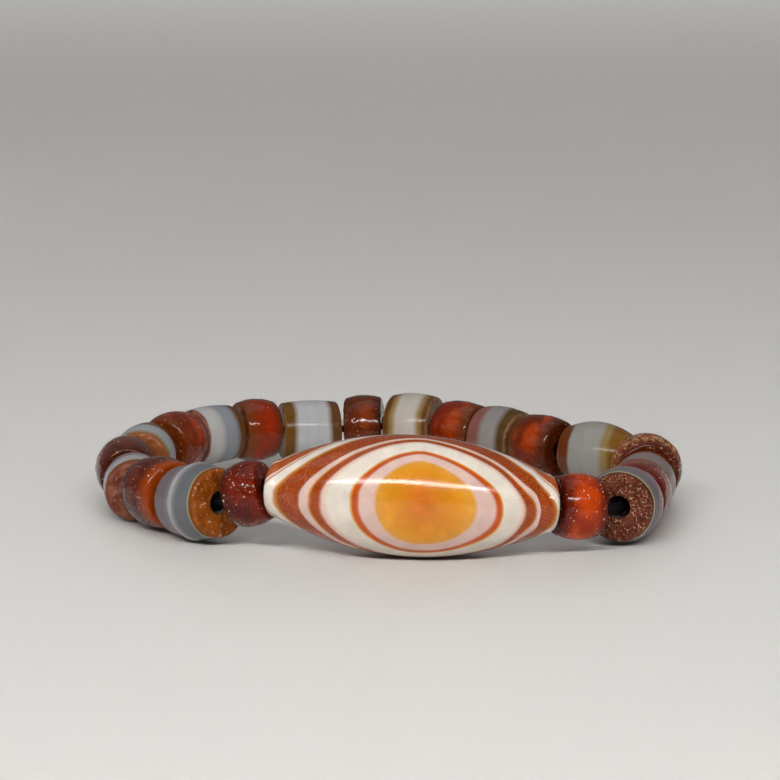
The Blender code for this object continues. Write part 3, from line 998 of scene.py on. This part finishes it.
@dataclass
class TurnedBead:
    """One drilled stone bead: a fine mesh that is turned, roughened and set in its seat."""

    node: str
    seat: Seat
    relief: Relief
    seed: float
    slot: Slot
    material: bpy.types.Material
    steps: int = 144
    side_points: int = 40
    edge_points: int = 6
    face_points: int = 12
    mouth_points: int = 3
    bore_points: int = 12
    chamfer: float = 0.18 * MM
    proud: float = 0.08 * MM
    lean: float = 0.0
    lean_power: float = 8.0
    ridge: float = 0.0
    ridge_share: float = 0.30
    face_from: float = 0.75

    def section(self) -> list[Vector]:
        """Draws the bead's half section: its side, rounded edges, end faces and bore.

        Returns:
            A closed run of points, their radius along Z.
        """
        half = self.seat.length / 2 + self.proud
        edge = self.seat.edge
        points = []
        for i in range(self.side_points):
            share = 2 * i / (self.side_points - 1) - 1
            radius = (self.seat.girth - (self.seat.girth - self.seat.end) * share**2) / 2
            radius += self.ridge * math.exp(-abs(share / self.ridge_share))
            points.append((share * (half - edge), radius))
        shoulder = self.seat.end / 2
        for i in range(1, self.edge_points + 1):
            turn = math.pi / 2 * i / self.edge_points
            points.append((half - edge * (1 - math.sin(turn)), shoulder - edge * (1 - math.cos(turn))))
        inner = self.seat.bore / 2 + self.chamfer
        for i in range(1, self.face_points + 1):
            share = i / self.face_points
            points.append((half, (shoulder - edge) * (1 - share) + inner * share))
        for i in range(1, self.mouth_points + 1):
            turn = math.pi / 2 * i / self.mouth_points
            inwards = self.chamfer * (1 - math.cos(turn))
            points.append((half - inwards, inner - self.chamfer * math.sin(turn)))
        for i in range(1, self.bore_points // 2):
            share = 2 * i / self.bore_points
            points.append(((half - self.chamfer) * (1 - share), self.seat.bore / 2))
        points.append((0.0, self.seat.bore / 2))
        run = [Vector((x, 0.0, radius)) for x, radius in points]
        back = [Vector((-p.x, 0.0, p.z)) for p in reversed(run[self.side_points : -1])]
        return run + back

    def turn(self) -> bpy.types.Mesh:
        """Turns the section round the bore's line.

        Returns:
            The closed mesh, in the bead's own frame.
        """
        form = bmesh.new()
        rim = [form.verts.new(point) for point in self.section()]
        edges = [form.edges.new((rim[i - 1], rim[i])) for i in range(len(rim))]
        bmesh.ops.spin(
            form, geom=rim + edges, cent=(0.0, 0.0, 0.0), axis=(1.0, 0.0, 0.0),
            angle=2 * math.pi, steps=self.steps, use_merge=True,
        )
        mesh = bpy.data.meshes.new(self.node + "_stone")
        close(form, mesh)
        return mesh

    def roughen(self, mesh: bpy.types.Mesh) -> None:
        """Stores each point's place in the stone, then moves it by the relief and the lean.

        Args:
            mesh: the turned mesh, in the bead's own frame.
        """
        count = len(mesh.vertices)
        corners = np.empty(count * 3)
        mesh.vertices.foreach_get("co", corners)
        leaned = corners.reshape(-1, 3).copy()
        outward = np.empty(count * 3)
        mesh.vertex_normals.foreach_get("vector", outward)
        outward = outward.reshape(-1, 3)
        along, aside = leaned[:, 0].copy(), leaned[:, 1]
        half = self.seat.length / 2 + self.proud
        near_end = np.clip(np.abs(along) / half, 0.0, 1.0) ** self.lean_power
        leaned[:, 0] += self.lean * aside * near_end * np.sign(along)
        places = leaned / MM
        facing = (np.abs(outward[:, 0]) - self.face_from) / (1 - self.face_from)
        facing = np.clip(facing, 0.0, 1.0)
        heights = np.empty(count)
        pits = np.empty(count)
        for i, place in enumerate(places):
            heights[i], pits[i] = self.relief.height(Vector(place), facing[i], self.seed)
        moved = leaned + outward * (heights * MM)[:, None]
        mesh.vertices.foreach_set("co", moved.ravel())
        stored = mesh.attributes.new(STONE_PLACE, "FLOAT_VECTOR", "POINT")
        stored.data.foreach_set("vector", places.ravel())
        mesh.attributes.new(STONE_PITS, "FLOAT", "POINT").data.foreach_set("value", pits)

    def place(self) -> None:
        """Builds the bead in its seat, nowhere below the floor, and hands it over."""
        mesh = self.turn()
        self.roughen(mesh)
        mesh.transform(self.seat.frame())
        corners = np.empty(len(mesh.vertices) * 3)
        mesh.vertices.foreach_get("co", corners)
        corners[2::3] = np.maximum(corners[2::3], 0.0)
        mesh.vertices.foreach_set("co", corners)
        mesh.update()
        mesh.shade_smooth()
        mesh.materials.append(self.material)
        hand_over(mesh, self.node + "_stone", self.node)


AGATES: dict[str, AgateBanding] = {
    "agate_bead_02": AgateBanding(
        (
            # The pale band from 3.35 to 3.85 mm, round the ridge at the bead's middle, is a painted
            # highlight.
            Band(0.55, "#734013", 0.20), Band(0.78, "#A1926F", 0.12), Band(3.1, "#66686C", 0.9),
            Band(3.35, "#868486", 0.3), Band(3.85, "#ACA8A7", 0.3), Band(4.5, "#827D80", 0.9),
            Band(9.0, "#716669"),
        ),
        face_colour="#803C0A", face_light="#98500F", face_mix=0.95, crystal_mm=0.65,
        crystal_height_mm=0.13, glints=0.30, ridge_mm=0.30,
    ),
    "agate_bead_04": AgateBanding(
        (
            Band(0.8, "#7C3A14", 0.3), Band(1.1, "#7A5A20", 0.2), Band(3.4, "#A8A2A4", 0.5),
            Band(5.2, "#8A7C86", 0.3), Band(9.0, "#5A1E0C"),
        ),
        face_colour="#6C3624", face_light="#8A5440", face_mix=0.95, crystal_mm=0.60,
        crystal_height_mm=0.10, glints=0.15,
    ),
    "agate_bead_06": AgateBanding(
        (
            Band(0.5, "#8E5628", 0.3), Band(1.1, "#8A7E6C", 0.5), Band(3.6, "#9A9E9E", 0.7),
            Band(9.0, "#6A3818"),
        ),
        face_colour="#824828", face_light="#965A34", face_mix=0.85, crystal_mm=0.9,
        crystal_height_mm=0.02,
    ),
    "agate_bead_08": AgateBanding(
        (
            Band(0.30, "#6A2A22", 0.3), Band(2.4, "#AEACA9", 0.9), Band(4.8, "#868A90", 0.8),
            Band(9.0, "#5E3814"),
        ),
    ),
    "agate_bead_10": AgateBanding(
        (Band(1.5, "#63400F", 0.7), Band(5.9, "#ACACAC", 0.7), Band(9.0, "#5D3A1C")),
    ),
    "agate_bead_12": AgateBanding(
        (
            Band(0.9, "#5A3812", 0.6), Band(1.6, "#8E7446", 0.6), Band(4.6, "#B4ACA2", 0.5),
            Band(5.2, "#8E7446", 0.6), Band(9.0, "#5E3C18"),
        ),
    ),
    "agate_bead_14": AgateBanding(
        (Band(1.5, "#805048", 0.9), Band(4.2, "#888280", 0.8), Band(9.0, "#4E3612")),
        tilt=Tilt.SIDEWAYS,
    ),
    "agate_bead_16": AgateBanding(
        (
            Band(1.1, "#622F0E", 0.4), Band(5.4, "#908D88", 0.7), Band(6.4, "#877246", 0.6),
            Band(9.0, "#775017"),
        ),
        tilt=Tilt.SIDEWAYS,
    ),
    "agate_bead_18": AgateBanding(
        (Band(2.2, "#643012", 0.5), Band(5.6, "#806F6B", 0.4), Band(9.0, "#551407")),
    ),
    "agate_bead_20": AgateBanding(
        (
            Band(1.3, "#8A3C0C", 0.4), Band(3.7, "#86666A", 0.6), Band(5.25, "#6A6668", 0.35),
            Band(5.42, "#A89A78", 0.12), Band(9.0, "#4E2408"),
        ),
        face_colour="#561E0A", face_light="#70341C", face_mix=0.95, crystal_mm=0.50,
        crystal_height_mm=0.24, glints=0.55, glint_colour="#DEB89A",
    ),
}

CARNELIANS: dict[str, CarnelianTone] = {
    "carnelian_bead_01": CarnelianTone("#6C1600", "#4C0C00", "#681400", "#420A00", glint_share=0.9),
    "carnelian_bead_03": CarnelianTone("#621A00", "#440E00", "#923A06", "#340A00"),
    "carnelian_bead_05": CarnelianTone("#722A08", "#521A02", "#441200", "#521C06"),
    "carnelian_bead_07": CarnelianTone("#A03608", "#6C2002", "#642A08", "#6E1804"),
    "carnelian_bead_09": CarnelianTone("#942400", "#7C2400", "#663008", "#5A2404", glint_share=0.1),
    "carnelian_bead_11": CarnelianTone("#7A3006", "#5A2002", "#4C1C04", "#401402", glint_share=0.1),
    "carnelian_bead_13": CarnelianTone("#983400", "#741E00", "#661600", "#5A2A08", glint_share=0.1),
    "carnelian_bead_15": CarnelianTone("#A03600", "#601A00", "#52300C", "#461A04", glint_share=0.2),
    "carnelian_bead_17": CarnelianTone(
        "#8E3606", "#6A2A04", "#8A4008", "#4C1600", pore_mm=0.6, glint_share=0.9, crust_and_glitter=0.7,
        crust_mm=0.6,
    ),
    "carnelian_bead_19": CarnelianTone("#8E3404", "#661A00", "#9A4A08", "#560E00", glint_share=0.8),
    "carnelian_bead_21": CarnelianTone("#BE3E00", "#942600", "#500C00", "#4E0C00", glint_share=0.8),
}


@dataclass
class Thread:
    """The elastic thread: one closed cord through every bore, with low twisted ribs."""

    seats: list[Seat]
    node: str = "elastic_thread"
    diameter: float = 1.0 * MM
    ribs: int = 8
    rib_points: int = 4
    rib_depth: float = 0.05 * MM
    twists: int = 46
    resolution: int = 8

    def profile(self) -> bpy.types.Object:
        """Draws the cord's ribbed cross section as a closed guide curve.

        Returns:
            The guide, which is removed once the cord is a mesh.
        """
        curve = bpy.data.curves.new("cord_section", "CURVE")
        curve.dimensions = "2D"
        spline = curve.splines.new("POLY")
        count = self.ribs * self.rib_points
        spline.points.add(count - 1)
        for i, point in enumerate(spline.points):
            turn = 2 * math.pi * i / count
            reach = self.diameter / 2 - self.rib_depth * (1 - math.cos(self.ribs * turn)) / 2
            point.co = (reach * math.cos(turn), reach * math.sin(turn), 0.0, 1.0)
        spline.use_cyclic_u = True
        return bpy.data.objects.new("cord_section", curve)

    def knots(self) -> list[Vector]:
        """Lists the points that the cord passes.

        Returns:
            The points inside each bore and between each two beads, in order.
        """
        points = []
        for i, seat in enumerate(self.seats):
            points.append((self.seats[i - 1].mouth(1.0) + seat.mouth(-1.0)) / 2)
            inside = (-0.5, 0.0, 0.5) if seat.length > 2 * seat.girth else (0.0,)
            points += [seat.mouth(share) for share in inside]
        return points

    def place(self, material: bpy.types.Material) -> None:
        """Sweeps the section along the bores and hands the cord over.

        Args:
            material: the cord's material.
        """
        curve = bpy.data.curves.new("cord_route", "CURVE")
        curve.dimensions = "3D"
        curve.resolution_u = self.resolution
        section = self.profile()
        curve.bevel_mode = "OBJECT"
        curve.bevel_object = section
        curve.twist_mode = "MINIMUM"
        knots = self.knots()
        spline = curve.splines.new("BEZIER")
        spline.bezier_points.add(len(knots) - 1)
        for i, (point, knot) in enumerate(zip(spline.bezier_points, knots)):
            point.co = knot
            point.handle_left_type = point.handle_right_type = "AUTO"
            point.tilt = 2 * math.pi * self.twists * i / len(knots)
        spline.use_cyclic_u = True
        route = bpy.data.objects.new("cord_route", curve)
        bpy.context.scene.collection.objects.link(route)
        bpy.context.view_layer.update()
        drawn = route.evaluated_get(bpy.context.evaluated_depsgraph_get())
        mesh = bpy.data.meshes.new_from_object(drawn)
        bpy.data.objects.remove(route)
        bpy.data.objects.remove(section)
        form = bmesh.new()
        form.from_mesh(mesh)
        close(form, mesh)
        mesh.materials.clear()
        mesh.materials.append(material)
        mesh.shade_smooth()
        hand_over(mesh, "elastic_cord", self.node)


@dataclass
class Bracelet:
    """The whole string: the eye bead, the small beads in their order and the thread."""

    small_beads: int = 21
    eye_node: str = "eye_bead"
    eye_end: float = 6.6 * MM
    eye_nose: float = 1.0 * MM
    eye_lean: float = 0.24
    mostly_broken: float = 0.5
    ground: Relief = Relief(lump=0.035, lump_span=5.0, dent=0.006, dent_span=1.3, face=0.01)
    sawn: Relief = Relief(face=0.04, face_span=0.8)
    broken: Relief = Relief(face=0.13, face_span=0.8)
    tumbled: Relief = Relief(lump=0.07, lump_span=2.2, dent=0.03, pit=0.06, pit_span=0.8, face=0.06)

    def nodes(self) -> list[str]:
        """Lists the nodes of all beads.

        Returns:
            The nodes, the eye bead's first, in their order along the thread.
        """
        kinds = ("agate_bead_%02d", "carnelian_bead_%02d")
        return [self.eye_node] + [kinds[i % 2] % i for i in range(1, self.small_beads + 1)]

    def seats(self) -> list[Seat]:
        """Reads the seats of all beads.

        Returns:
            The seats, the eye bead's first, each heading along the thread.
        """
        nodes = self.nodes()
        middles = [sum(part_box(node), Vector()) / 2 for node in nodes]
        after = middles[1:] + middles[:1]
        return [read_seat(node, after[i] - middles[i - 1]) for i, node in enumerate(nodes)]

    def eye(self, seat: Seat) -> TurnedBead:
        """Prepares the eye bead, its bore's line turned to the right, as its bands read.

        Args:
            seat: the eye bead's seat, heading to the left.

        Returns:
            The bead, ready to be placed.
        """
        turned = replace(seat, along=-seat.along, end=self.eye_end, edge=self.eye_nose)
        material = EyeBanding().material(seat.girth / 2 / MM)
        return TurnedBead(
            self.eye_node, turned, self.ground, 0.0, Slot.SARDONYX, material,
            steps=224, side_points=150, edge_points=12, face_points=8, bore_points=24,
            chamfer=0.15 * MM, proud=0.0, lean=-self.eye_lean,
        )

    def small(self, node: str, seat: Seat, number: int) -> TurnedBead:
        """Prepares one small bead with the finish of its kind of stone.

        Args:
            node: the bead's node.
            seat: the bead's seat.
            number: the bead's number along the thread.

        Returns:
            The bead, ready to be placed.
        """
        length_mm = seat.length / MM
        if node in CARNELIANS:
            material = CARNELIANS[node].material("tumbled_carnelian_%02d" % number, length_mm)
            return TurnedBead(node, seat, self.tumbled, float(number), Slot.CARNELIAN, material)
        banding = AGATES[node]
        relief = self.broken if banding.face_mix > self.mostly_broken else self.sawn
        material = banding.material("polished_agate_%02d" % number, length_mm)
        ridge = banding.ridge_mm * MM
        return TurnedBead(node, seat, relief, float(number), Slot.AGATE, material, ridge=ridge)

    def build(self) -> None:
        """Builds every bead in its order along the thread, then the thread itself."""
        seats = self.seats()
        self.eye(seats[0]).place()
        for number, (node, seat) in enumerate(zip(self.nodes()[1:], seats[1:]), start=1):
            self.small(node, seat, number).place()
        Thread(seats).place(ElasticCover().material())


@dataclass(frozen=True)
class StudioLight:
    """One soft white rectangular light, aimed at the bracelet unless it is told otherwise."""

    name: str
    watts: float
    width: float
    height: float
    place: tuple[float, float, float]
    aim: tuple[float, float, float] = (0.0, -0.015, 0.006)

    def hang(self, only: bpy.types.Collection | None = None) -> None:
        """Adds the light to the scene.

        Args:
            only: the things that it lights, if not everything.
        """
        lamp = bpy.data.lights.new(self.name, "AREA")
        lamp.shape = "RECTANGLE"
        lamp.size = self.width
        lamp.size_y = self.height
        lamp.energy = self.watts
        thing = bpy.data.objects.new(self.name, lamp)
        thing.location = self.place
        towards = Vector(self.aim) - Vector(self.place)
        thing.rotation_euler = towards.to_track_quat("-Z", "Y").to_euler()
        bpy.context.scene.collection.objects.link(thing)
        if only is not None:
            thing.light_linking.receiver_collection = only


@dataclass(frozen=True)
class Studio:
    """The plain pale floor, the soft lights and the camera at the photograph's angle."""

    image_px: int = 780
    focal_px: float = 2797.7
    sensor_mm: float = 36.0
    camera_place: tuple[float, float, float] = (0.14 * MM, -327.53 * MM, 70.95 * MM)
    camera_dip: float = math.radians(9.815)
    nearest: float = 0.01
    farthest: float = 100.0
    floor_side: float = 12.0
    floor_drop: float = 0.05 * MM
    floor_colour: str = "#B6B4B0"
    floor_rough: float = 0.6
    tooth_mm: float = 10 / 9
    tooth_height_mm: float = 0.02
    backdrop_colour: str = "#E6E5E3"
    backdrop_strength: float = 0.22
    lights: tuple[StudioLight, ...] = (
        StudioLight("long_strip", 2.8, 0.70, 0.030, (-0.03, -0.46, 0.335)),
        StudioLight("overhead_softbox", 1.0, 0.9, 0.6, (-0.10, 0.10, 0.85)),
        StudioLight("left_softbox", 0.3, 0.35, 0.5, (-0.75, -0.35, 0.45)),
    )
    floor_wash: StudioLight = StudioLight(
        "floor_wash", 34.0, 3.4, 3.0, (0.0, 2.65, 1.1), (0.0, 2.65, 0.0)
    )

    def camera(self) -> None:
        """Sets the camera where the photograph was taken from."""
        lens = bpy.data.cameras.new("camera")
        lens.sensor_width = self.sensor_mm
        lens.lens = self.focal_px / self.image_px * self.sensor_mm
        lens.clip_start = self.nearest
        lens.clip_end = self.farthest
        thing = bpy.data.objects.new("camera", lens)
        thing.location = self.camera_place
        thing.rotation_euler = (math.pi / 2 - self.camera_dip, 0.0, 0.0)
        bpy.context.scene.collection.objects.link(thing)
        bpy.context.scene.camera = thing

    def painted_board(self) -> bpy.types.Material:
        """Makes the floor's material: board under matt paint, an even ground with soft shadows.

        Returns:
            The material, with the fine tooth that a roller leaves in paint.
        """
        material, tree = new_tree("pale_painted_board")
        place = add(tree, "TexCoord").outputs["Object"]
        scale = 1 / (self.tooth_mm * MM)
        tooth = add(tree, "TexNoise", {"Vector": place, "Scale": scale, "Detail": 3.0})
        bump = add(tree, "Bump", {"Height": tooth, "Distance": self.tooth_height_mm * MM})
        colour = linear(self.floor_colour)
        shader = add(
            tree, "BsdfPrincipled",
            {"Base Color": colour, "Roughness": self.floor_rough, "Normal": bump},
        )
        add(tree, "OutputMaterial", {"Surface": shader})
        return material

    def floor(self) -> None:
        """Lays the pale floor that the bracelet rests on, with the light that evens it out."""
        form = bmesh.new()
        bmesh.ops.create_grid(form, x_segments=1, y_segments=1, size=self.floor_side / 2)
        bmesh.ops.translate(form, verts=form.verts, vec=(0.0, 0.0, -self.floor_drop))
        mesh = bpy.data.meshes.new("pale_floor")
        form.to_mesh(mesh)
        form.free()
        mesh.materials.append(self.painted_board())
        thing = bpy.data.objects.new("pale_floor", mesh)
        bpy.context.scene.collection.objects.link(thing)
        washed = bpy.data.collections.new("floor_only")
        washed.objects.link(thing)
        self.floor_wash.hang(washed)

    def backdrop(self) -> None:
        """Gives the room an even pale light."""
        world = bpy.data.worlds.new("pale_room")
        world.use_nodes = True
        light = world.node_tree.nodes["Background"]
        light.inputs["Color"].default_value = linear(self.backdrop_colour)
        light.inputs["Strength"].default_value = self.backdrop_strength
        bpy.context.scene.world = world

    def build(self) -> None:
        """Sets up the camera, the floor, the room's light and the lamps."""
        self.camera()
        self.floor()
        self.backdrop()
        for light in self.lights:
            light.hang()
        bpy.context.scene.view_settings.view_transform = "Standard"


def main() -> None:
    """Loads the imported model, dresses it and sets up the studio."""
    logging.basicConfig(level=logging.INFO, format="%(name)s: %(message)s")
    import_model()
    Studio().build()
    Bracelet().build()


if __name__ == "__main__":
    main()
